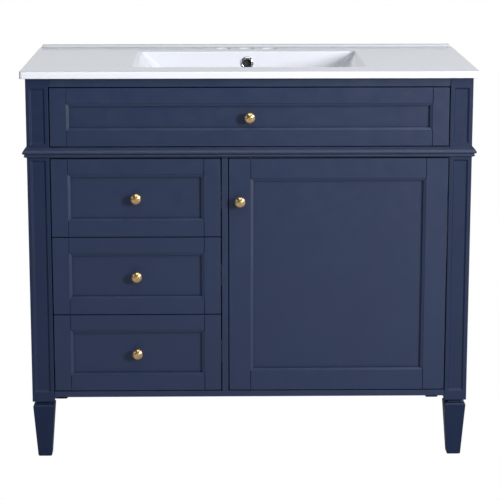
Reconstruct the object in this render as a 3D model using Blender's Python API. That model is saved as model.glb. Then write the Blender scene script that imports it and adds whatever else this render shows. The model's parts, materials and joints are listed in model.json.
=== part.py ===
"""A painted bathroom vanity cabinet: posts on tapered feet, a ceramic top with its basin, a tip-out front,
three drawers and one door. Metres, +Z up, fronts towards -Y, origin under the middle of the whole box."""

import math

import bmesh
import bpy
from mathutils import Matrix, Vector

# Countertop
TOP_WIDTH = 0.914
TOP_DEPTH = 0.460
TOP_HEIGHT = 0.800
TOP_EDGE = 0.0145
TOP_OVERHANG = 0.012
LIP_HEIGHT = 0.006
LIP_DEPTH = 0.014
BASIN_WIDTH = 0.465
BASIN_LENGTH = 0.290
BASIN_SETBACK = 0.077
FAUCET_SPACING = 0.0508
FAUCET_HOLE = 0.0165
FAUCET_SETBACK = 0.0395
DRAIN_RADIUS = 0.0225
OVERFLOW_DROP = 0.026
OVERFLOW_HOLE = 0.0112

# Carcass
CABINET_WIDTH = 0.890
CABINET_DEPTH = 0.448
POST = 0.045
BOARD = 0.018
THIN_BOARD = 0.0127
POST_BOTTOM = 0.1196
TOP_RAIL_LOW = 0.768
WAIST_TOP = 0.6468
WAIST_LOW = 0.6256
BOTTOM_RAIL_TOP = 0.1412
BOTTOM_RAIL_LOW = 0.129
MULLION_MIDDLE = -0.050
MOULDING_REACH = 0.0085

# Fronts
REVEAL = 0.0021
FRONT_THICK = 0.018
PANEL_SETBACK = 0.0073
PANEL_THICK = 0.0057
BEVEL = 0.0064
RABBET = 0.006
KNOB_REACH = 0.025
KNOB_HOLE = 0.0027

# Moving parts
DRAWER_COUNT = 3
DRAWER_BOX_DEPTH = 0.400
DRAWER_BOX_HEIGHT = 0.110
DRAWER_BOX_LIFT = 0.022
BOX_WALL = 0.012
SLIDE_SPACE = 0.0127
SLIDE_HEIGHT = 0.045
PIN_RADIUS = 0.0016
PIN_HOLE = 0.0020
PIVOT_BACK = 0.004
PIVOT_UP = 0.0045
CUP_RADIUS = 0.0128
CUP_DEPTH = 0.0105
CUP_EDGE = 0.018
HINGE_INSET = 0.085

GAP = 0.0003

# Levels and planes that follow
FACE = -(CABINET_DEPTH - KNOB_REACH) / 2
BACK = FACE + CABINET_DEPTH
HALF = CABINET_WIDTH / 2
POST_INNER = HALF - POST
CABINET_TOP = TOP_HEIGHT - TOP_EDGE - GAP
REAR_OF_FRONTS = FACE + FRONT_THICK
MULLION_LEFT = MULLION_MIDDLE - THIN_BOARD / 2
MULLION_RIGHT = MULLION_MIDDLE + THIN_BOARD / 2
INSIDE_BACK = BACK - 0.0055
BASIN_FRONT = FACE - TOP_OVERHANG + BASIN_SETBACK
BASIN_BACK = BASIN_FRONT + BASIN_LENGTH
FRONTS_LOW = BOTTOM_RAIL_TOP + REVEAL
FRONTS_TOP = WAIST_LOW - REVEAL


# ---------------------------------------------------------------- materials

def material(name, colour, roughness, metallic=0.0):
    made = bpy.data.materials.new(name)
    made.use_nodes = True
    shader = made.node_tree.nodes["Principled BSDF"]
    shader.inputs["Base Color"].default_value = (*colour, 1.0)
    shader.inputs["Roughness"].default_value = roughness
    shader.inputs["Metallic"].default_value = metallic
    made.diffuse_color = (*colour, 1.0)
    return made


# ---------------------------------------------------------------- mesh helpers

def loft(rings, closed=False):
    """A solid through rings of equally many points: capped at both ends, or joined last to first."""
    mesh = bmesh.new()
    rows = [[mesh.verts.new(point) for point in ring] for ring in rings]
    count = len(rows[0])
    pairs = list(zip(rows, rows[1:]))
    if closed:
        pairs.append((rows[-1], rows[0]))
    for near, far in pairs:
        for i in range(count):
            j = (i + 1) % count
            mesh.faces.new((near[i], near[j], far[j], far[i]))
    if not closed:
        mesh.faces.new(rows[0])
        mesh.faces.new(rows[-1])
    bmesh.ops.recalc_face_normals(mesh, faces=mesh.faces)
    return mesh


def block(low, high):
    (x0, y0, z0), (x1, y1, z1) = low, high
    return loft([[(x0, y0, z), (x1, y0, z), (x1, y1, z), (x0, y1, z)] for z in (z0, z1)])


def prism(outline, low, high, axis):
    """An outline of two coordinates, drawn out along the third one (0 = X, 1 = Y, 2 = Z)."""

    def place(point, level):
        spot = list(point)
        spot.insert(axis, level)
        return tuple(spot)

    return loft([[place(point, level) for point in outline] for level in (low, high)])


def turned(profile, centre, axis, segments=16):
    """A solid turned about the line through centre along axis, from pairs of distance along it and radius."""
    side = Vector(axis).orthogonal().normalized()
    up = Vector(axis).cross(side)
    mesh = bmesh.new()
    rows = []
    for along, radius in profile:
        middle = Vector(centre) + along * Vector(axis)
        if radius == 0:
            rows.append([mesh.verts.new(middle)])
            continue
        angles = [math.tau * (i + 0.5) / segments for i in range(segments)]
        row = [mesh.verts.new(middle + radius * (math.cos(a) * side + math.sin(a) * up)) for a in angles]
        rows.append(row)
    for near, far in zip(rows, rows[1:]):
        for i in range(segments):
            j = (i + 1) % segments
            corners = [near[i % len(near)], near[j % len(near)], far[j % len(far)], far[i % len(far)]]
            mesh.faces.new(list(dict.fromkeys(corners)))
    bmesh.ops.recalc_face_normals(mesh, faces=mesh.faces)
    return mesh


def rod(start, axis, length, radius, segments=12):
    return turned([(0, 0), (0, radius), (length, radius), (length, 0)], start, axis, segments)


# ---------------------------------------------------------------- object helpers

def empty(name, spot=(0, 0, 0)):
    made = bpy.data.objects.new(name, None)
    made.location = spot
    made.empty_display_size = 0.03
    bpy.context.scene.collection.objects.link(made)
    return made


def add(name, shape, finish, parent):
    """A named object from a shape in world coordinates, placed under an empty that stands on its axis."""
    data = bpy.data.meshes.new(name)
    shape.to_mesh(data)
    shape.free()
    data.transform(Matrix.Translation(-parent.location))
    made = bpy.data.objects.new(name, data)
    made.parent = parent
    bpy.context.scene.collection.objects.link(made)
    if finish:
        data.materials.append(finish)
    data.shade_smooth()
    data.set_sharp_from_angle(angle=math.radians(35))
    return made


def combine(target, shape, operation):
    helper = add(target.name + "_helper", shape, None, target.parent)
    helper.hide_render = True
    helper.display_type = "WIRE"
    step = target.modifiers.new(operation.title(), "BOOLEAN")
    step.operation = operation
    step.object = helper


def cut(target, shape):
    combine(target, shape, "DIFFERENCE")


def join(target, shape):
    combine(target, shape, "UNION")


# ---------------------------------------------------------------- countertop

CORNER_POINTS = 6


def rounded_ring(half_x, front, back, radius, level):
    ring = []
    corners = ((half_x, back, 0), (-half_x, back, 1), (-half_x, front, 2), (half_x, front, 3))
    for x, y, quarter in corners:
        centre_x = x - math.copysign(radius, x)
        centre_y = back - radius if y == back else front + radius
        for i in range(CORNER_POINTS):
            angle = math.pi / 2 * (quarter + i / (CORNER_POINTS - 1))
            ring.append((centre_x + radius * math.cos(angle), centre_y + radius * math.sin(angle), level))
    return ring


def round_ring(middle_y, radius, level):
    count = 4 * CORNER_POINTS
    angles = [math.tau * (i + 0.5) / count for i in range(count)]
    return [(radius * math.cos(a), middle_y + radius * math.sin(a), level) for a in angles]


def build_countertop(ceramic, root):
    front = FACE - TOP_OVERHANG
    corner = 0.008
    # How far in from the edge, and at what height, the rounded edge of the slab passes.
    underside = TOP_HEIGHT - TOP_EDGE
    edge = ((0.002, underside), (0, underside + 0.002), (0, TOP_HEIGHT - 0.004), (0.0012, TOP_HEIGHT - 0.0012))
    edge += ((0.004, TOP_HEIGHT),)
    slab = [
        rounded_ring(TOP_WIDTH / 2 - inset, front + inset, BACK - inset, corner, level) for inset, level in edge
    ]
    # Inside of the bowl from its rim down: depth, how far the sides, the front and the back have come in,
    # and the corner radius.
    inside_steps = (
        (0.0000, -0.005, -0.005, -0.005, 0.016),
        (0.0012, -0.0018, -0.0018, -0.0018, 0.013),
        (0.0042, 0.0008, 0.000, 0.000, 0.012),
        (0.0350, 0.029, 0.006, 0.0015, 0.022),
        (0.0800, 0.050, 0.016, 0.005, 0.034),
        (0.1100, 0.062, 0.030, 0.020, 0.048),
        (0.1210, 0.085, 0.052, 0.045, 0.050),
    )
    outside_steps = (
        (0.1340, 0.078, 0.044, 0.037, 0.054),
        (0.1200, 0.050, 0.018, 0.008, 0.050),
        (0.0840, 0.037, 0.004, -0.0065, 0.042),
        (0.0380, 0.017, -0.0055, -0.0095, 0.034),
        (TOP_EDGE, -0.006, -0.011, -0.011, 0.026),
    )

    def bowl(steps):
        return [
            rounded_ring(
                BASIN_WIDTH / 2 - sides, BASIN_FRONT + fore, BASIN_BACK - aft, radius, TOP_HEIGHT - depth
            )
            for depth, sides, fore, aft, radius in steps
        ]

    middle = (BASIN_FRONT + BASIN_BACK) / 2
    drain = [round_ring(middle, DRAIN_RADIUS, TOP_HEIGHT - depth) for depth in (0.1255, 0.1365)]
    top = add("countertop", loft(slab + bowl(inside_steps) + drain + bowl(outside_steps), True), ceramic, root)

    lip_back = BACK - 0.0006
    lip_top = TOP_HEIGHT + LIP_HEIGHT
    lip_end = TOP_WIDTH / 2 - 0.0055
    outline = [
        (lip_back - LIP_DEPTH, TOP_HEIGHT - 0.006),
        (lip_back - LIP_DEPTH, lip_top - 0.005),
        (lip_back - LIP_DEPTH + 0.0015, lip_top - 0.0015),
        (lip_back - LIP_DEPTH + 0.005, lip_top),
        (lip_back - 0.004, lip_top),
        (lip_back - 0.0012, lip_top - 0.0012),
        (lip_back, lip_top - 0.004),
        (lip_back, TOP_HEIGHT - 0.006),
    ]
    ends = ((-lip_end, 0.0040), (-lip_end + 0.0015, 0.0012), (-lip_end + 0.0045, 0))
    ends += tuple((-x, drop) for x, drop in reversed(ends))
    rings = [
        [(x, y, z if z < TOP_HEIGHT else TOP_HEIGHT + (z - TOP_HEIGHT) * (1 - drop / LIP_HEIGHT)) for y, z in outline]
        for x, drop in ends
    ]
    join(top, loft(rings))

    through = TOP_EDGE + 0.02
    for side in (-1, 0, 1):
        start = (side * FAUCET_SPACING, BACK - FAUCET_SETBACK, TOP_HEIGHT - through + 0.01)
        cut(top, rod(start, (0, 0, 1), through, FAUCET_HOLE, 20))
    overflow = (0, BASIN_BACK - 0.02, TOP_HEIGHT - OVERFLOW_DROP)
    cut(top, rod(overflow, (0, 1, 0), 0.05, OVERFLOW_HOLE, 20))


def build_overflow_ring(chrome, root):
    wall = BASIN_BACK - 0.0016
    outer, bore = 0.0142, 0.0088
    sleeve = OVERFLOW_HOLE - 0.0007
    centre = (0, wall, TOP_HEIGHT - OVERFLOW_DROP)
    # Distance behind the wall's surface and radius, once round the ring's section.
    profile = ((-0.0026, bore + 0.0015), (-0.0026, outer - 0.0012), (-0.0008, outer), (-0.0003, outer - 0.0002))
    profile += ((-0.0003, sleeve), (0.0085, sleeve), (0.0085, bore), (-0.0016, bore))
    count = 20
    angles = [math.tau * (i + 0.5) / count for i in range(count)]
    rings = [
        [(radius * math.cos(a), centre[1] + along, centre[2] + radius * math.sin(a)) for a in angles]
        for along, radius in profile
    ]
    add("overflow_ring", loft(rings, True), chrome, root)


# ---------------------------------------------------------------- posts and feet

RECESS_WIDTH = 0.030
RECESS_DEPTH = 0.003
RECESS_SPANS = ((0.1400, 0.6205), (0.6525, 0.7650))


def recess(middle, low, high, face, width, depth=RECESS_DEPTH):
    """A cutter for a shallow field with sloping sides. face gives the plane and which way it looks."""
    axis, level, outward = face
    rings = []
    for beyond in (-depth, 0.001):
        spread = beyond + depth
        across = (middle - width / 2 + depth - spread, middle + width / 2 - depth + spread)
        up = (low + depth - spread, high - depth + spread)
        flat = [(across[0], up[0]), (across[1], up[0]), (across[1], up[1]), (across[0], up[1])]
        plane = level + outward * beyond
        rings.append([(plane, a, z) if axis == "x" else (a, plane, z) for a, z in flat])
    return loft(rings)


def build_post(name, side, front, painted, root):
    x0, x1 = sorted((side * HALF, side * POST_INNER))
    y0 = FACE if front else BACK - POST
    post = add(name, block((x0, y0, POST_BOTTOM), (x1, y0 + POST, CABINET_TOP)), painted, root)
    middle_x, middle_y = (x0 + x1) / 2, y0 + POST / 2
    for low, high in RECESS_SPANS:
        cut(post, recess(middle_y, low, high, ("x", side * HALF, side), RECESS_WIDTH))
        if front:
            cut(post, recess(middle_x, low, high, ("y", FACE, -1), RECESS_WIDTH))
    cut(post, rod((middle_x, middle_y, POST_BOTTOM - 0.01), (0, 0, 1), 0.036, 0.0047, 8))
    if front:
        start = (side * (POST_INNER - 0.01), FACE + PIVOT_BACK, WAIST_TOP + REVEAL + PIVOT_UP)
        cut(post, rod(start, (side, 0, 0), 0.0164, PIN_HOLE, 8))


def build_foot(name, side, front, painted, root):
    x = side * (HALF - POST / 2)
    y = FACE + POST / 2 if front else BACK - POST / 2
    neck = POST_BOTTOM - GAP
    # Height and half width, from the floor up to the neck, which the stud stands on.
    levels = ((0, 0.0125), (0.0015, 0.0140), (0.109, 0.0220), (0.1125, 0.0195), (0.1125, 0.0148), (neck, 0.0148))
    rings = [[(x + a * h, y + b * h, z) for a, b in ((-1, -1), (1, -1), (1, 1), (-1, 1))] for z, h in levels]
    foot = add(name, loft(rings), painted, root)
    join(foot, rod((x, y, neck - 0.004), (0, 0, 1), 0.028, 0.0040, 8))


# ---------------------------------------------------------------- carcass

def build_rails(painted, root):
    inner = POST_INNER - GAP
    rails = (("top_rail", TOP_RAIL_LOW, CABINET_TOP), ("waist_rail", WAIST_LOW, WAIST_TOP))
    rails += (("bottom_rail", BOTTOM_RAIL_LOW, BOTTOM_RAIL_TOP),)
    for name, low, high in rails:
        add(name, block((-inner, FACE, low), (inner, REAR_OF_FRONTS, high)), painted, root)
    low, high = BOTTOM_RAIL_TOP + GAP, WAIST_LOW - GAP
    add("mullion", block((MULLION_LEFT, FACE, low), (MULLION_RIGHT, REAR_OF_FRONTS, high)), painted, root)


def build_side_panel(name, side, painted, root):
    x0, x1 = sorted((side * HALF, side * (HALF - BOARD)))
    y0, y1 = FACE + POST + GAP, BACK - POST - GAP
    panel = add(name, block((x0, y0, BOTTOM_RAIL_LOW), (x1, y1, CABINET_TOP)), painted, root)
    border = 0.045
    for low, high in ((BOTTOM_RAIL_TOP + border, WAIST_LOW - border), (WAIST_TOP + 0.028, CABINET_TOP - 0.036)):
        cut(panel, recess((y0 + y1) / 2, low, high, ("x", side * HALF, side), y1 - y0 - 2 * border, 0.0055))


def build_mouldings(painted, root):
    # How far out from the cabinet's face, and at what height, round the moulding's section.
    nose = MOULDING_REACH
    section = ((GAP, 0.6468), (0.0016, 0.6468), (0.0034, 0.6448), (0.0068, 0.6400), (nose, 0.6376))
    section += ((nose, 0.6342), (0.0052, 0.6326), (0.0056, 0.6296), (0.0034, 0.6274), (GAP, 0.6264))

    def run(end_x, end_y):
        return [(end_x(out), end_y(out), z) for out, z in section]

    across = GAP / 2
    front = loft([run(lambda out: s * (HALF + out - across), lambda out: FACE - out) for s in (-1, 1)])
    add("moulding_front", front, painted, root)
    for name, s in (("moulding_left", -1), ("moulding_right", 1)):
        mitre = run(lambda out: s * (HALF + out), lambda out: FACE - out + across)
        rear = run(lambda out: s * (HALF + out), lambda out: BACK)
        add(name, loft([mitre, rear]), painted, root)


def build_carcass_boards(board, root):
    # The bottom board is notched round the four posts.
    wide, narrow = HALF - BOARD - GAP, POST_INNER - GAP
    front, rear = REAR_OF_FRONTS + GAP, INSIDE_BACK
    behind_front_post, before_back_post = FACE + POST + GAP, BACK - POST - GAP
    half = [(narrow, front), (narrow, behind_front_post), (wide, behind_front_post)]
    half += [(wide, before_back_post), (narrow, before_back_post), (narrow, rear)]
    outline = half + [(-x, y) for x, y in reversed(half)]
    add("bottom_board", prism(outline, BOTTOM_RAIL_LOW, BOTTOM_RAIL_TOP, 2), board, root)

    low, high = BOTTOM_RAIL_TOP + GAP, WAIST_TOP
    add("partition", block((MULLION_LEFT, front, low), (MULLION_RIGHT, rear, high)), board, root)

    rail_low = 0.700
    add("back_rail_top", block((-narrow, BACK - BOARD, rail_low), (narrow, BACK, CABINET_TOP)), board, root)
    panel = block((-narrow, INSIDE_BACK + GAP, BOTTOM_RAIL_LOW), (narrow, BACK - 0.0005, rail_low - GAP))
    back = add("back_panel", panel, board, root)
    cut(back, block((-0.020, INSIDE_BACK - 0.02, 0.330), (0.330, BACK + 0.02, 0.620)))


# ---------------------------------------------------------------- fronts

def front_frame(span, levels, stile, rail):
    """A frame with a bevelled opening, rebated behind for its panel: once round the section, rail by rail."""
    (x0, x1), (z0, z1) = span, levels
    # Where each line of the section runs: from the outer edge or from the opening, how far in, how deep.
    section = ((0, 0, 0), (1, 0, 0), (1, BEVEL, BEVEL), (1, BEVEL, PANEL_SETBACK - GAP))
    section += ((1, -RABBET, PANEL_SETBACK - GAP), (1, -RABBET, FRONT_THICK), (0, 0, FRONT_THICK))
    rings = []
    for opening, inward, depth in section:
        dx, dz = opening * stile + inward, opening * rail + inward
        y = FACE + depth
        ring = [(x0 + dx, y, z0 + dz), (x1 - dx, y, z0 + dz), (x1 - dx, y, z1 - dz), (x0 + dx, y, z1 - dz)]
        rings.append(ring)
    return loft(rings, True)


def front_panel(span, levels, stile, rail):
    (x0, x1), (z0, z1) = span, levels
    dx, dz = stile - RABBET + GAP, rail - RABBET + GAP
    y = FACE + PANEL_SETBACK
    return block((x0 + dx, y, z0 + dz), (x1 - dx, y + PANEL_THICK, z1 - dz))


def knob(base, grip):
    """A mushroom knob on a base plane at base, with its screw through grip metres of wood and a screw head."""
    profile = ((-grip - 0.0026, 0), (-grip - 0.0026, 0.0032), (-grip - 0.0018, 0.0042), (-grip - GAP, 0.0042))
    profile += ((-grip - GAP, 0.0020), (GAP, 0.0020), (GAP, 0.0062), (0.0022, 0.0058), (0.0050, 0.0046))
    profile += ((0.0110, 0.0050), (0.0145, 0.0082), (0.0175, 0.0104), (0.0200, 0.0108), (0.0225, 0.0096))
    profile += ((0.0242, 0.0062), (KNOB_REACH, 0))
    return turned(profile, base, (0, -1, 0), 16)


def knob_hole(x, z):
    return rod((x, FACE - 0.01, z), (0, 1, 0), 0.055, KNOB_HOLE)


# ---------------------------------------------------------------- tip-out front

def build_tilt_front(finishes, root):
    span = (-POST_INNER + REVEAL, POST_INNER - REVEAL)
    levels = (WAIST_TOP + REVEAL, TOP_RAIL_LOW - REVEAL)
    stile, rail = 0.033, 0.031
    pivot = (0, FACE + PIVOT_BACK, levels[0] + PIVOT_UP)
    axis = empty("tilt_front_axis", pivot)
    frame = add("tilt_front_frame", front_frame(span, levels, stile, rail), finishes["paint"], axis)
    panel = add("tilt_front_panel", front_panel(span, levels, stile, rail), finishes["paint"], axis)
    middle = (levels[0] + levels[1]) / 2
    cut(panel, knob_hole(0, middle))
    base = (0, FACE + PANEL_SETBACK, middle)
    add("tilt_front_knob", knob(base, PANEL_THICK), finishes["brass"], axis)

    for name, side in (("tilt_pin_left", -1), ("tilt_pin_right", 1)):
        start = (side * (POST_INNER - 0.0095), pivot[1], pivot[2])
        add(name, rod(start, (side, 0, 0), 0.0155, PIN_RADIUS), finishes["steel"], root)
        cut(frame, rod((side * (POST_INNER - 0.010), *start[1:]), (side, 0, 0), 0.02, PIN_HOLE, 8))

    # A narrow open tray behind the lower half of the front.
    half, depth, wall = 0.180, 0.026, 0.0022
    low, high = levels[0] + 0.012, levels[0] + 0.082
    y0 = REAR_OF_FRONTS + GAP
    tray = add("tilt_tray", block((-half, y0, low), (half, y0 + depth, high)), finishes["plastic"], axis)
    hollow = block((-half + wall, y0 + wall, low + wall), (half - wall, y0 + depth - wall, high + 0.01))
    cut(tray, hollow)


# ---------------------------------------------------------------- drawers

def slide_pair(side, wall, level, y0, steel, names, parents):
    """The outer channel on the carcass wall and the inner bar that runs in it. side points at the drawer."""
    outer_name, inner_name = names
    root, axis = parents
    half, sheet, reach = SLIDE_HEIGHT / 2, 0.0013, 0.0095
    web, lip = wall + side * GAP, wall + side * reach
    inside = web + side * sheet
    outline = [(web, -half), (lip, -half), (lip, -half + sheet), (inside, -half + sheet)]
    outline += [(inside, half - sheet), (lip, half - sheet), (lip, half), (web, half)]
    outline = [(x, level + z) for x, z in outline]
    add(outer_name, prism(outline, y0, y0 + DRAWER_BOX_DEPTH, 1), steel, root)
    bar = half - sheet - GAP
    x0, x1 = sorted((inside + side * GAP, wall + side * (SLIDE_SPACE - GAP)))
    low, high = (x0, y0, level - bar), (x1, y0 + DRAWER_BOX_DEPTH, level + bar)
    add(inner_name, block(low, high), steel, axis)


def build_drawer(number, finishes, root):
    span = (-POST_INNER + REVEAL, MULLION_LEFT - REVEAL)
    height = (FRONTS_TOP - FRONTS_LOW - (DRAWER_COUNT - 1) * REVEAL) / DRAWER_COUNT
    top = FRONTS_TOP - (number - 1) * (height + REVEAL)
    levels = (top - height, top)
    stile, rail = 0.0335, 0.0315
    name = f"drawer_{number}"
    middle_x, middle_z = (span[0] + span[1]) / 2, (levels[0] + levels[1]) / 2
    axis = empty(name + "_axis", (middle_x, FACE, middle_z))
    add(name + "_frame", front_frame(span, levels, stile, rail), finishes["paint"], axis)
    panel = add(name + "_panel", front_panel(span, levels, stile, rail), finishes["paint"], axis)
    cut(panel, knob_hole(middle_x, middle_z))

    y0 = REAR_OF_FRONTS + GAP
    x0, x1 = -POST_INNER + SLIDE_SPACE, MULLION_LEFT - SLIDE_SPACE
    z0 = levels[0] + DRAWER_BOX_LIFT
    outer = block((x0, y0, z0), (x1, y0 + DRAWER_BOX_DEPTH, z0 + DRAWER_BOX_HEIGHT))
    box = add(name + "_box", outer, finishes["board"], axis)
    floor = 0.014
    low = (x0 + BOX_WALL, y0 + BOX_WALL, z0 + floor)
    high = (x1 - BOX_WALL, y0 + DRAWER_BOX_DEPTH - BOX_WALL, z0 + DRAWER_BOX_HEIGHT + 0.01)
    cut(box, block(low, high))
    cut(box, knob_hole(middle_x, middle_z))

    grip = FRONT_THICK - PANEL_SETBACK + GAP + BOX_WALL
    base = (middle_x, FACE + PANEL_SETBACK, middle_z)
    add(name + "_knob", knob(base, grip), finishes["brass"], axis)

    level = z0 + DRAWER_BOX_HEIGHT / 2
    for hand, side, wall in (("left", 1, -POST_INNER), ("right", -1, MULLION_LEFT)):
        names = (f"slide_outer_{number}_{hand}", f"slide_inner_{number}_{hand}")
        slide_pair(side, wall, level, y0 + 0.001, finishes["steel"], names, (root, axis))


# ---------------------------------------------------------------- door

def build_door(finishes, root):
    span = (MULLION_RIGHT + REVEAL, POST_INNER - REVEAL)
    levels = (FRONTS_LOW, FRONTS_TOP)
    stile, rail = 0.0435, 0.040
    axis = empty("door_axis", (POST_INNER - REVEAL / 2, FACE, (levels[0] + levels[1]) / 2))
    frame = add("door_frame", front_frame(span, levels, stile, rail), finishes["paint"], axis)
    add("door_panel", front_panel(span, levels, stile, rail), finishes["paint"], axis)
    knob_x, knob_z = span[0] + 0.022, levels[1] - 0.085
    cut(frame, knob_hole(knob_x, knob_z))
    add("door_knob", knob((knob_x, FACE, knob_z), FRONT_THICK), finishes["brass"], axis)

    rear = REAR_OF_FRONTS
    cup_x = span[1] - CUP_EDGE
    for name, z in (("upper", levels[1] - HINGE_INSET), ("lower", levels[0] + HINGE_INSET)):
        cut(frame, rod((cup_x, rear - CUP_DEPTH - GAP, z), (0, 1, 0), 0.03, CUP_RADIUS + GAP, 20))
        flange = block((cup_x - 0.008, rear + GAP, z - 0.024), (cup_x + 0.0085, rear + 0.0022, z + 0.024))
        cup = add(f"hinge_cup_{name}", flange, finishes["steel"], axis)
        join(cup, rod((cup_x, rear - CUP_DEPTH, z), (0, 1, 0), CUP_DEPTH + 0.0042, CUP_RADIUS - GAP, 20))

        arm_x, wall = POST_INNER - 0.0150, POST_INNER - GAP
        y0 = rear + 0.0050
        arm = block((arm_x, y0, z - 0.0065), (wall - 0.0015, y0 + 0.055, z + 0.0065))
        plate = add(f"hinge_plate_{name}", arm, finishes["steel"], root)
        join(plate, block((wall - 0.0024, y0 + 0.001, z - 0.0240), (wall, FACE + POST - 0.0005, z + 0.0240)))
        join(plate, block((cup_x - 0.005, y0 + 0.0005, z - 0.0055), (arm_x + 0.003, y0 + 0.007, z + 0.0055)))


# ---------------------------------------------------------------- the whole cabinet

def build():
    for old in list(bpy.data.objects):
        bpy.data.objects.remove(old)
    finishes = {
        "paint": material("navy_paint", (0.030, 0.045, 0.095), 0.42),
        "ceramic": material("white_ceramic", (0.86, 0.87, 0.88), 0.08),
        "brass": material("satin_brass", (0.72, 0.50, 0.22), 0.28, 1.0),
        "chrome": material("chrome", (0.80, 0.80, 0.81), 0.08, 1.0),
        "steel": material("zinc_steel", (0.58, 0.59, 0.60), 0.35, 1.0),
        "board": material("birch_board", (0.62, 0.47, 0.31), 0.55),
        "plastic": material("white_plastic", (0.80, 0.80, 0.78), 0.40),
    }
    root = empty("cabinet")
    build_countertop(finishes["ceramic"], root)
    build_overflow_ring(finishes["chrome"], root)
    for side_name, side in (("left", -1), ("right", 1)):
        for end_name, front in (("front", True), ("back", False)):
            build_post(f"post_{end_name}_{side_name}", side, front, finishes["paint"], root)
            build_foot(f"foot_{end_name}_{side_name}", side, front, finishes["paint"], root)
        build_side_panel(f"side_panel_{side_name}", side, finishes["paint"], root)
    build_rails(finishes["paint"], root)
    build_mouldings(finishes["paint"], root)
    build_carcass_boards(finishes["board"], root)
    build_tilt_front(finishes, root)
    for number in range(1, DRAWER_COUNT + 1):
        build_drawer(number, finishes, root)
    build_door(finishes, root)


build()
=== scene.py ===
"""The detailed visual model of a bathroom vanity cabinet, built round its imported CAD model."""
import json
import math

import bmesh
import bpy
from mathutils import Matrix, Vector


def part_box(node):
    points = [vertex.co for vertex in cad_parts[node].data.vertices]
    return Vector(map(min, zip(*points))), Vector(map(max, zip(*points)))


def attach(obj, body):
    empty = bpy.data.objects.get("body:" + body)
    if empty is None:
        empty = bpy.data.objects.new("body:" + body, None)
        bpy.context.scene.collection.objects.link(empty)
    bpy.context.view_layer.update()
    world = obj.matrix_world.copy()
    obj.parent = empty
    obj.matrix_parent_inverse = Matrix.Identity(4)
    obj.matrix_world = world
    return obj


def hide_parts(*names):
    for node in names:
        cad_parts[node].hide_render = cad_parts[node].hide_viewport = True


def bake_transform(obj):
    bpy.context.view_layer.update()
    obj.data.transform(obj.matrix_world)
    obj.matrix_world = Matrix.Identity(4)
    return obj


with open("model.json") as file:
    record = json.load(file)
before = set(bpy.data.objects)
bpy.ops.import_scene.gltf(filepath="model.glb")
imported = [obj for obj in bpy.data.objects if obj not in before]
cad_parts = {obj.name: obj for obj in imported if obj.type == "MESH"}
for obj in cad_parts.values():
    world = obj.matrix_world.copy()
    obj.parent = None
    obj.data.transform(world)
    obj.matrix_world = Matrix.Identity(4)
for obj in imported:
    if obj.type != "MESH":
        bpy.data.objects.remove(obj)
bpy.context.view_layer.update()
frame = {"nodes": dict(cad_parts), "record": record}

for startup in ("Cube", "Light", "Camera"):
    if startup in bpy.data.objects:
        bpy.data.objects.remove(bpy.data.objects[startup], do_unlink=True)

NODES = frame["nodes"]
GAP = 0.0003


# ---------------------------------------------------------------- camera, floor and light

def build_camera():
    """A view from the front and a little above, through a long lens."""
    data = bpy.data.cameras.new("camera")
    data.sensor_width = 36.0
    data.lens = 133.7
    data.shift_y = -0.06
    data.clip_end = 200.0
    camera = bpy.data.objects.new("camera", data)
    pitch, yaw = math.radians(11.48), math.radians(0.95)
    forward = Vector((math.sin(yaw) * math.cos(pitch), math.cos(yaw) * math.cos(pitch), -math.sin(pitch)))
    camera.location = (-0.0602, -3.8735, 1.2422)
    camera.rotation_euler = forward.to_track_quat("-Z", "Y").to_euler()
    bpy.context.scene.collection.objects.link(camera)
    bpy.context.scene.camera = camera


def soft_light(name, spot, aim, size, power, colour=(1.0, 1.0, 1.0)):
    """A rectangular light at spot, turned towards aim."""
    data = bpy.data.lights.new(name, "AREA")
    data.shape = "RECTANGLE"
    data.size, data.size_y = size
    data.energy = power
    data.color = colour
    light = bpy.data.objects.new(name, data)
    light.location = spot
    light.rotation_euler = (Vector(aim) - Vector(spot)).to_track_quat("-Z", "Y").to_euler()
    bpy.context.scene.collection.objects.link(light)


def mix_for_camera(tree, shed, seen, target):
    """Shows the camera one shader and every other ray another."""
    path = tree.nodes.new("ShaderNodeLightPath")
    mix = tree.nodes.new("ShaderNodeMixShader")
    tree.links.new(path.outputs["Is Camera Ray"], mix.inputs["Fac"])
    tree.links.new(shed.outputs[0], mix.inputs[1])
    tree.links.new(seen.outputs[0], mix.inputs[2])
    tree.links.new(mix.outputs[0], target.inputs["Surface"])


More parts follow.
